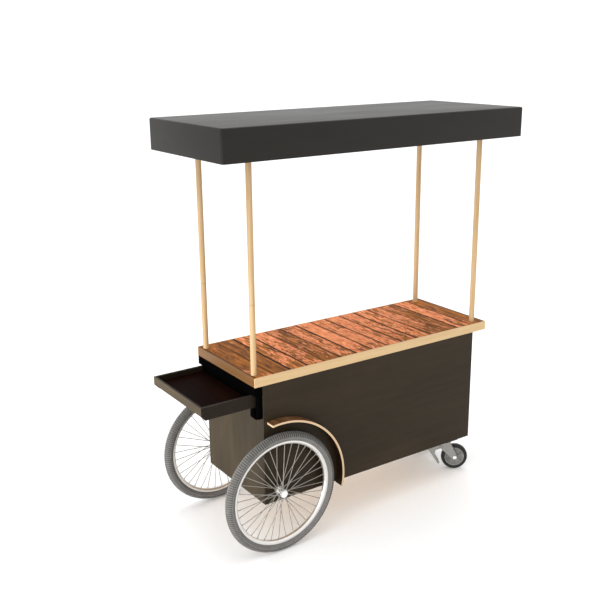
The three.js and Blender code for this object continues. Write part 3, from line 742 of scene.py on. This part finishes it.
# ---- big wheels
SPOKES = 36
SPOKE_RADIUS = 1.9 * MM
SPOKE_CROSS = 0.5
TYRE_RINGS = 32
TREAD_RIBS = 164
TREAD_DEPTH = 3.0 * MM
TREAD_REACH = 25 * MM
TREAD_BAND = 0.2
RIM_INNER = 265 * MM
RIM_BEAD = 285 * MM
RIM_LIP = 1.5 * MM
RIM_CREST = 4.5 * MM
RIM_TRACK = 9 * MM
RIM_WELL = 1.5 * MM
# small turned parts of the wheel, as (radius, height) in mm
NIPPLE = [(0, 0), (1.6, 0), (1.9, 4), (3.0, 6.5), (3.0, 8.5), (0, 8.5)]
NIPPLE_REACH = 7 * MM
VALVE = [(0, 0), (2.4, 0.4), (2.6, 8), (2.0, 9), (2.8, 10), (3.3, 24), (5.2, 33), (5.2, 34.5), (0, 34.5)]
VALVE_REACH = 33 * MM
VALVE_ANGLE = 2.0
HUB = {"bore": 10.6 * MM, "waist": 13 * MM, "shoulder": 15 * MM, "flange": 22 * MM}
FLANGE = {"at": 22 * MM, "thick": 2 * MM, "edge": 1 * MM}
AXLE_RADIUS = 10 * MM
AXLE_COLLAR = 16 * MM
AXLE_CHAMFER = 1 * MM
NUT_WASHER = {"radius": 19 * MM, "thick": 2 * MM, "play": 0.4 * MM}
NUT_HEXAGON = [(14.4, 2.0), (15.6, 3.0), (15.6, 6.4), (13.4, 7.6)]
NUT_DOME = {"radius": 11, "base": 7.4, "rise": 3.4, "start": 7.2}


def make_tyre(name, side, centre, radius, bead, half, materials):
    """A bicycle tyre: round casing, a smooth centre band, and radial grooves over both shoulders."""
    deep = radius - bead
    wide = 0.54 * deep
    section = [(bead, -half * 0.66)]
    for k in range(TYRE_RINGS + 1):
        angle = math.pi * (1.18 * k / TYRE_RINGS - 0.09)
        section.append((radius - wide + wide * math.sin(angle), -half * math.cos(angle)))
    section.append((bead, half * 0.66))

    def groove(reach, y, k):
        across = abs(y) / half
        if k % 4 < 2 or reach < radius - TREAD_REACH or across < TREAD_BAND:
            return 0.0
        fade = min(1.0, (across - TREAD_BAND) * 6, (reach - radius + TREAD_REACH) / (3 * MM))
        return -TREAD_DEPTH * fade

    bm = bmesh.new()
    around = TREAD_RIBS * 4
    add_turned(bm, section, around, across(centre), closed=True, ripple=groove)
    mesh = from_bmesh(name, bm)
    for ring, (reach, y) in enumerate(section):
        # painted shade: the floor and one wall of each shoulder groove get a darker rubber
        if groove(reach, y, 2) < 0.0:
            for k in range(around):
                mesh.polygons[ring * around + k].material_index = 1 if k % 4 > 1 else 0
        # painted highlight: a ring just below the tread gets a lighter rubber
        elif abs(reach - radius + TREAD_REACH + 2 * MM) < 2 * MM:
            for k in range(around):
                mesh.polygons[ring * around + k].material_index = 2
    finish_piece(f"detailed_{name}", mesh, f"{side}_wheel", materials, name, smooth=50)


def make_rim(side, centre, half, alloy, steel, black):
    """A hollow alloy rim with brake tracks, a spoke nipple for each spoke and a tyre valve."""
    flank = [
        (RIM_BEAD + RIM_LIP, -half * 0.62), (RIM_BEAD + RIM_CREST, -half),
        (RIM_INNER + RIM_TRACK, -half), (RIM_INNER + RIM_WELL, -half * 0.55),
    ]
    outline = rounded([*flank, (RIM_INNER, 0), *mirrored(flank)], 2.5 * MM)
    body = f"{side}_wheel"
    mesh = turned("rim", outline, 160, across(centre), closed=True)
    finish_piece(f"alloy_rim_{side}", mesh, body, alloy, f"rim_{side}")

    nipples = bmesh.new()
    for k in range(SPOKES):
        angle = TAU * (k + 0.5) / SPOKES
        out = Vector((math.cos(angle), 0, math.sin(angle)))
        add_turned(nipples, in_mm(NIPPLE), 8, axis_matrix(out, centre + out * (RIM_INNER - NIPPLE_REACH)))
    finish_piece(f"nipples_{side}", from_bmesh("nipples", nipples), body, steel)

    out = Vector((math.cos(VALVE_ANGLE), 0, math.sin(VALVE_ANGLE)))
    valve = turned("valve", in_mm(VALVE), 16, axis_matrix(out, centre + out * (RIM_INNER - VALVE_REACH)))
    finish_piece(f"valve_{side}", valve, body, black)


def make_spokes(side, centre, steel):
    """Crossed spokes from the rim's middle to the flanges, each with its elbow and head."""
    spokes = bmesh.new()
    hole = HUB["flange"] - 3.5 * MM
    elbow, head_back, head_thick = 1.9 * MM, 2.6 * MM, 1.1 * MM
    for k in range(SPOKES):
        face = 1 if k % 2 else -1
        lean = 1 if k % 4 < 2 else -1
        at_rim = TAU * (k + 0.5) / SPOKES
        at_hub = at_rim + lean * SPOKE_CROSS
        bend = Vector((math.cos(at_hub), 0, math.sin(at_hub))) * hole
        bend.y = face * (FLANGE["at"] + lean * elbow)
        tip = Vector((math.cos(at_rim), 0, math.sin(at_rim))) * (RIM_INNER - 3 * MM)
        tip.y = face * 1.5 * MM
        rod(spokes, centre + bend, centre + tip, SPOKE_RADIUS, 8)
        head = bend.copy()
        head.y = face * (FLANGE["at"] - lean * head_back)
        rod(spokes, centre + bend, centre + head, SPOKE_RADIUS * 1.15, 8)
        cap = head.copy()
        cap.y -= face * lean * head_thick
        rod(spokes, centre + head, centre + cap, SPOKE_RADIUS * 1.9, 8)
    finish_piece(f"spokes_{side}", from_bmesh("spokes", spokes), f"{side}_wheel", steel)


def make_hub(side, centre, bright):
    """A hub that is thick at its ends, with two thin flanges and a waist between them."""
    node = f"spoked_hub_{side}"
    low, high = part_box(node)
    half = (high.y - low.y) / 2
    at, thick = FLANGE["at"], FLANGE["thick"]
    crown = HUB["flange"] - FLANGE["edge"]
    outline = [
        (HUB["bore"], -half), (HUB["shoulder"], -half), (HUB["shoulder"], -at - thick),
        (crown, -at - 0.6 * thick), (HUB["flange"], -at), (crown, -at + 0.6 * thick),
        (HUB["shoulder"], -at + thick), (HUB["waist"], -at + 3 * thick),
    ]
    outline += mirrored(outline)
    mesh = turned("hub", rounded(outline, 1.6 * MM), 72, across(centre), closed=True)
    finish_piece(f"hub_{side}", mesh, f"{side}_wheel", bright, node)


def make_axle(centre, steel):
    """The axle, with a collar between the cabinet's side and each hub."""
    low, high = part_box("axle")
    collar_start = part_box("back_face_frame")[1].y + SEAM_GAP
    collar_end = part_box("spoked_hub_back")[0].y - SEAM_GAP
    half = [
        (AXLE_RADIUS, collar_start), (AXLE_COLLAR, collar_start),
        (AXLE_COLLAR, collar_end), (AXLE_RADIUS, collar_end),
        (AXLE_RADIUS, high.y - AXLE_CHAMFER), (AXLE_RADIUS - AXLE_CHAMFER, high.y),
    ]
    profile = [(0, low.y), *mirrored(half), *half, (0, high.y)]
    mesh = turned("axle", profile, 48, across((centre.x, 0, centre.z)))
    finish_piece("round_axle", mesh, "cart", steel, "axle")


def make_axle_nuts(centre, bright):
    """A washer and a domed hexagon nut at each end of the axle."""
    bore = AXLE_RADIUS + NUT_WASHER["play"]
    rim, thick = NUT_WASHER["radius"], NUT_WASHER["thick"]
    washer = rounded([(bore, 0), (rim, 0), (rim, thick), (bore, thick)], 0.5 * MM)
    hexagon = in_mm([(0, NUT_HEXAGON[0][1]), *NUT_HEXAGON, (0, NUT_HEXAGON[-1][1])])
    radius, base, rise = NUT_DOME["radius"], NUT_DOME["base"], NUT_DOME["rise"]
    dome = [(radius * MM * math.cos(a), (base + rise * math.sin(a)) * MM) for a in np.linspace(0, TAU / 4, 9)]
    cap = [(0, NUT_DOME["start"] * MM), *dome[:-1], (0, dome[-1][1])]
    for side, sign in SIDES.items():
        node = f"axle_nut_{side}"
        inner = min(abs(corner.y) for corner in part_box(node))
        face = axis_matrix((0, sign, 0), (centre.x, sign * inner, centre.z))
        bm = bmesh.new()
        add_turned(bm, washer, 48, face, closed=True)
        add_turned(bm, hexagon, 6, face)
        add_turned(bm, cap, 48, face)
        finish_piece(f"domed_nut_{side}", from_bmesh("nut", bm), "cart", bright, node, 30)


def make_wheels():
    tyre = [
        rubber("tyre_rubber", "#5c5a58", "#6c6a67", 0.75),
        # painted shade for the tyre's grooves
        rubber("tread_groove_painted_shade", "#3a3835", "#464440", 0.85),
        # painted highlight: a lighter ring on the tyre's shoulder
        rubber("tyre_line_painted_highlight", "#6a6764", "#7a7774", 0.7),
    ]
    black = rubber("valve_rubber", "#1c1b1b", "#2b2a2a", 0.6)
    alloy = metal("rim_alloy", "#dcd9d5", 0.34, 0.06, grime="#bdb8b2", axis="Y")
    steel = metal("spoke_steel", "#8a857e", 0.45, 0.05, grime="#6b655f", metallic=0.3)
    bright = metal("hub_chrome", "#eeece9", 0.3, 0.04, grime="#c5c1bb", axis="Y", metallic=0.5)
    zinc = metal("axle_zinc", "#b9b8b4", 0.35, 0.1, grime="#8d8a84", axis="Y")
    for side in SIDES:
        low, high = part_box(f"tyre_{side}")
        rim_low, rim_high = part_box(f"rim_{side}")
        centre = Vector(joint(f"{side}_wheel_spin")["pos_m"])
        make_tyre(f"tyre_{side}", side, centre, centre.z - low.z, RIM_BEAD, (high.y - low.y) / 2, tyre)
        make_rim(side, centre, (rim_high.y - rim_low.y) / 2, alloy, steel, black)
        make_hub(side, centre, bright)
        make_spokes(side, centre, steel)
    make_axle(centre, zinc)
    make_axle_nuts(centre, bright)


# ---- fenders
FENDER = {"outer": 390 * MM, "thick": 12 * MM, "start": 98.5, "end": -12.0}
FENDER_SOFT = 0.8 * MM
FENDER_STEPS = 72


def make_fenders():
    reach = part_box("fender_front")[1] - Vector((FENDER["outer"], 0, FENDER["outer"]))
    centre = Vector((reach.x, 0, reach.z))
    face = clear_wood("walnut_veneer", "#795435", "#654428", "#4a301c", "Y", bands=30, sheen=0.15)
    under = painted_timber("fender_underside", "#23150b", "#301e11", "Y")
    edge = ply_edge("fender_edge", centre, "#c9ad8a", "#ac8c66", 1.5 * MM)
    soft, steps = FENDER_SOFT, FENDER_STEPS
    inner, outer = FENDER["outer"] - FENDER["thick"], FENDER["outer"]
    for side in SIDES:
        low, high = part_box(f"fender_{side}")
        rim = [
            (inner, low.y + soft), (inner + soft, low.y), (outer - soft, low.y), (outer, low.y + soft),
            (outer, high.y - soft), (outer - soft, high.y), (inner + soft, high.y), (inner, high.y - soft),
        ]
        # the material of the face strip after each point: 0 veneer, 1 edge, 2 underside
        strips = [1, 1, 0, 0, 1, 1, 2, 2]
        points = []
        for i in range(steps + 1):
            angle = math.radians(FENDER["start"] + (FENDER["end"] - FENDER["start"]) * i / steps)
            for radius, y in rim:
                points.append((centre.x + radius * math.cos(angle), y, centre.z + radius * math.sin(angle)))
        name = f"bent_fender_{side}"
        mesh = lofted(name, points, len(rim), strips * steps + [1, 1])
        finish_piece(name, mesh, "cart", [face, edge, under], f"fender_{side}")


# ---- casters
CASTER_TYRE_DEPTH = 20 * MM
TYRE_GAP = 0.4 * MM
# half a section through the wheel, in mm: depth below the tyre's tread or the web's rim, and half width
CASTER_TREAD = [(20, 14), (14, 17.5), (5, 17), (1, 12), (0, 6)]
CASTER_BOSS = [(6.6, -17), (16, -17), (19, -11), (24, -8)]
CASTER_WEB_RIM = [(11, 7), (7, 14), (0, 14.5)]
CASTER_RIBS = 6
CASTER_RIB = {"start": 18 * MM, "short": 8 * MM, "half": 1.8 * MM, "low": 6.5 * MM, "high": 14 * MM}


def make_caster_wheel(side, hub_material, tyre_material):
    roll = joint(f"{side}_caster_roll")
    centre, axis = Vector(roll["pos_m"]), Vector(roll["axis"])
    radius = centre.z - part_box(f"caster_tyre_{side}")[0].z
    body = f"{side}_caster_wheel"
    at = axis_matrix(axis, centre)
    tread = [(radius - depth * MM, -half * MM) for depth, half in CASTER_TREAD]
    tread += mirrored(tread)
    node = f"caster_tyre_{side}"
    mesh = turned("tyre", rounded(tread, 2 * MM), 96, at, closed=True)
    finish_piece(f"round_{node}", mesh, body, tyre_material, node)

    rim = radius - CASTER_TYRE_DEPTH - TYRE_GAP
    web = in_mm(CASTER_BOSS) + [(rim - depth * MM, -half * MM) for depth, half in CASTER_WEB_RIM]
    web += mirrored(web)
    bm = bmesh.new()
    add_turned(bm, rounded(web, 1.5 * MM), 72, at, closed=True)
    rib = CASTER_RIB
    for k in range(CASTER_RIBS):
        turn = at @ Matrix.Rotation(TAU * k / CASTER_RIBS, 4, "Z")
        for bottom, top in ((-rib["high"], -rib["low"]), (rib["low"], rib["high"])):
            start = (rib["start"], -rib["half"], bottom)
            add_slab(bm, start, (rim - rib["short"], rib["half"], top), turn, 0.6 * MM, 1)
    node = f"caster_core_{side}"
    finish_piece(f"ribbed_core_{side}", from_bmesh("core", bm), body, hub_material, node)


# the brake pedal from its side: where its tread starts and ends, out along the fork and up from its pin
PEDAL_TOE = (-74 * MM, -26 * MM)
PEDAL_HEEL = (-15 * MM, -116 * MM)
PEDAL_ARM = 24 * MM
PEDAL_TREAD = 14 * MM
PEDAL_GUSSET = {"arm": 46 * MM, "tread": 40 * MM}
PEDAL_BEND = 6 * MM
PEDAL_CHAMFER = 7 * MM
PEDAL_HALF = 16 * MM
PEDAL_SHEET = 3 * MM
PEDAL_PIN = {"radius": 4 * MM, "half": 26 * MM}
PEDAL_GRIPS = 5
GRIP_RADIUS = 2 * MM


def add_prism(bm, outline, low, high, matrix):
    """Adds a plate of an (x, z) outline that reaches from low to high along y."""
    near = [bm.verts.new(matrix @ Vector((x, low, z))) for x, z in outline]
    far = [bm.verts.new(matrix @ Vector((x, high, z))) for x, z in outline]
    bm.faces.new(near)
    bm.faces.new(far[::-1])
    for i in range(len(outline)):
        k = (i + 1) % len(outline)
        bm.faces.new((near[k], near[i], far[i], far[k]))


def left_of(line):
    """The unit vector at a right angle to the left of a 2-D line."""
    return Vector((-line.y, line.x)).normalized()


def inset_line(points, depth):
    """The open line moved to its left by depth."""
    moved = []
    for i, point in enumerate(points):
        before, after = points[max(i - 1, 0)], points[min(i + 1, len(points) - 1)]
        moved.append(point + left_of(after - before) * depth)
    return moved


def pedal_outlines():
    """The outline of the pedal's side plates, and the outer line of the sheet folded over them."""
    toe, heel = Vector(PEDAL_TOE), Vector(PEDAL_HEEL)
    arm, tread = toe.normalized(), (heel - toe).normalized()
    under, inner = left_of(arm) * PEDAL_ARM / 2, left_of(tread) * PEDAL_TREAD / 2
    skin = [-under, toe - under, toe - inner - tread * PEDAL_BEND, heel - inner]
    plate = [
        under,
        under + arm * PEDAL_GUSSET["arm"],
        toe + inner + tread * PEDAL_GUSSET["tread"],
        heel + inner - tread * PEDAL_CHAMFER,
    ]
    return plate + skin[::-1], skin


def make_pedal(side, steel):
    """The brake pedal: a folded sheet with two gusseted side plates, round grips and a pin."""
    swivel, roll = (Vector(joint(f"{side}_caster_{move}")["pos_m"]) for move in ("swivel", "roll"))
    out = Vector((roll.x - swivel.x, roll.y - swivel.y, 0)).normalized()
    up = Vector((0, 0, 1))
    at = Matrix.Translation(Vector(joint(f"{side}_brake_press")["pos_m"]))
    at = at @ Matrix((out, up.cross(out), up)).transposed().to_4x4()
    plate, skin = pedal_outlines()
    bm = bmesh.new()
    for y in (-PEDAL_HALF, PEDAL_HALF - PEDAL_SHEET):
        add_prism(bm, plate, y, y + PEDAL_SHEET, at)
    folded = skin + inset_line(skin, PEDAL_SHEET)[::-1]
    add_prism(bm, folded, PEDAL_SHEET - PEDAL_HALF, PEDAL_HALF - PEDAL_SHEET, at)
    toe, heel = skin[-2], skin[-1]
    for k in range(PEDAL_GRIPS):
        spot = toe.lerp(heel, (k + 1.5) / (PEDAL_GRIPS + 1.5))
        ends = [at @ Vector((spot.x, y, spot.y)) for y in (-0.8 * PEDAL_HALF, 0.8 * PEDAL_HALF)]
        rod(bm, *ends, GRIP_RADIUS, 12)
    pin_low, pin_high = (at @ Vector((0, y, 0)) for y in (-PEDAL_PIN["half"], PEDAL_PIN["half"]))
    rod(bm, pin_low, pin_high, PEDAL_PIN["radius"], 24)
    mesh, node = from_bmesh("pedal", bm), f"brake_pedal_{side}"
    piece = finish_piece(f"folded_pedal_{side}", mesh, f"{side}_brake", steel, node)
    soften = piece.modifiers.new("soften", "BEVEL")
    soften.width = 0.8 * MM
    soften.segments = 2
    soften.limit_method = "ANGLE"


# the plate's bolts, as (radius, height) in mm below the plate
PLATE_BOLT = [(0, -6), (5.6, -6), (6.6, -5), (6.6, -1), (0, -1)]
PLATE_WASHER = [(0, -1.4), (8.5, -1.4), (8.5, 0), (0, 0)]
PLATE_BOLT_OUT = (39 * MM, 31 * MM)
PLATE_THICK = 4 * MM


def make_caster_fittings(side, steel):
    """The four plate bolts with their washers, which the CAD leaves out."""
    swivel = Vector(joint(f"{side}_caster_swivel")["pos_m"])
    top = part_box(f"caster_plate_{side}")[1].z
    bm = bmesh.new()
    for sx in (-1, 1):
        for sy in (-1, 1):
            x, y = swivel.x + sx * PLATE_BOLT_OUT[0], swivel.y + sy * PLATE_BOLT_OUT[1]
            at = Matrix.Translation((x, y, top - PLATE_THICK))
            add_turned(bm, in_mm(PLATE_BOLT), 6, at)
            add_turned(bm, in_mm(PLATE_WASHER), 24, at)
    finish_piece(f"plate_bolts_{side}", from_bmesh("bolts", bm), "cart", steel)


def make_casters():
    zinc = metal("zinc_plate", "#989894", 0.42, 0.12, grime="#6f6e69")
    dark = rubber("caster_rubber", "#0d0d0c", "#181816", 0.6)
    grey = nylon("caster_nylon", "#62625e", "#7d7d78")
    bright = metal("bolt_steel", "#f2f1ee", 0.2, 0.05, grime="#c8c6c0", metallic=0.6)
    for side in SIDES:
        make_caster_wheel(side, grey, dark)
        make_caster_fittings(side, zinc)
        make_pedal(side, zinc)
        pressed = [f"caster_plate_{side}", f"caster_fork_{side}"]
        keep_nodes(pressed, zinc, 1.0 * MM, smooth=32)
        keep_nodes([f"caster_bolt_{side}"], bright, 0.8 * MM, smooth=32)


# ---- door hinges and knobs
HINGE_KNUCKLES = 7
HINGE_SCREWS = 9
HINGE = {"play": 0.6 * MM, "barrel": 4.4 * MM, "sheet": 1.8 * MM, "start": 5.4 * MM, "wide": 20 * MM}
# a screw's head, as (radius, height) in mm, where its row runs and how deep it sits
HINGE_SCREW = [(0, 0), (3.4, 0), (3.0, 0.9), (0, 1.3)]
SCREW_ROW = 14 * MM
SCREW_SEAT = 1.6 * MM


def make_hinges(brass):
    """Piano hinges: two leaves with turned knuckles in turn, and a row of screws in each leaf."""
    play, barrel, sheet = HINGE["play"], HINGE["barrel"], HINGE["sheet"]
    for name in ("left", "right"):
        swing = joint(f"{name}_door_swing")
        pin = Vector(swing["pos_m"])
        into_door = 1 if name == "left" else -1
        low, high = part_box(f"door_hinge_leaf_{name}")
        pitch = (high.z - low.z) / HINGE_KNUCKLES
        back = low.y
        for first, part, towards, body in (
            (0, f"door_hinge_leaf_{name}", into_door, f"{name}_door"),
            (1, f"frame_hinge_leaf_{name}", -into_door, "cart"),
        ):
            bm = bmesh.new()
            reach = sorted(pin.x + towards * HINGE[end] for end in ("start", "wide"))
            add_slab(bm, (reach[0], back, low.z), (reach[1], back + sheet, high.z), bevel=0.4 * MM, steps=1)
            for k in range(first, HINGE_KNUCKLES, 2):
                z0, z1 = low.z + k * pitch + play / 2, low.z + (k + 1) * pitch - play / 2
                tube = rounded([(0, z0), (barrel, z0), (barrel, z1), (0, z1)], 0.5 * MM, 2)
                add_turned(bm, tube, 24, Matrix.Translation((pin.x, pin.y, 0)))
                arm = sorted((pin.x, pin.x + towards * 6 * MM))
                add_slab(bm, (arm[0], back, z0), (arm[1], back + sheet, z1))
            for k in range(HINGE_SCREWS):
                z = low.z + (high.z - low.z) * (k + 0.5) / HINGE_SCREWS
                at = across((pin.x + towards * SCREW_ROW, back + SCREW_SEAT, z))
                add_turned(bm, in_mm(HINGE_SCREW), 16, at)
            finish_piece(f"fine_{part}", from_bmesh(part, bm), body, brass, part, 30)


# the knob's foot, neck and swell, as (radius, height) in mm, and its cap as (radius, depth below the top)
KNOB = [(0, 0), (9, 0), (9.5, 1.5), (6.5, 4), (6, 9), (9, 13), (14.5, 17), (15, 21)]
KNOB_CAP = [(12, 1.5), (6, 0.3), (0, 0)]


def make_knobs(brass):
    for name in ("left", "right"):
        node = f"door_knob_{name}"
        low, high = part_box(node)
        centre = middle(node)
        tall = high.y - low.y
        profile = in_mm(KNOB) + [(radius * MM, tall - depth * MM) for radius, depth in KNOB_CAP]
        at = across((centre.x, low.y, centre.z))
        mesh = turned("knob", rounded(profile, 2.5 * MM, 4), 56, at)
        finish_piece(f"turned_knob_{name}", mesh, f"{name}_door", brass, node, 60)


# ---- the scene
random.seed(7)
make_camera()
make_stage()
keep_cabinet()
keep_edge_bands()
make_planks()
make_posts()
make_canopy()
make_wheels()
make_fenders()
make_casters()
satin_brass = metal("satin_brass", "#b8924f", 0.32, 0.08, grime="#7c6236", axis="Z")
make_hinges(satin_brass)
make_knobs(satin_brass)
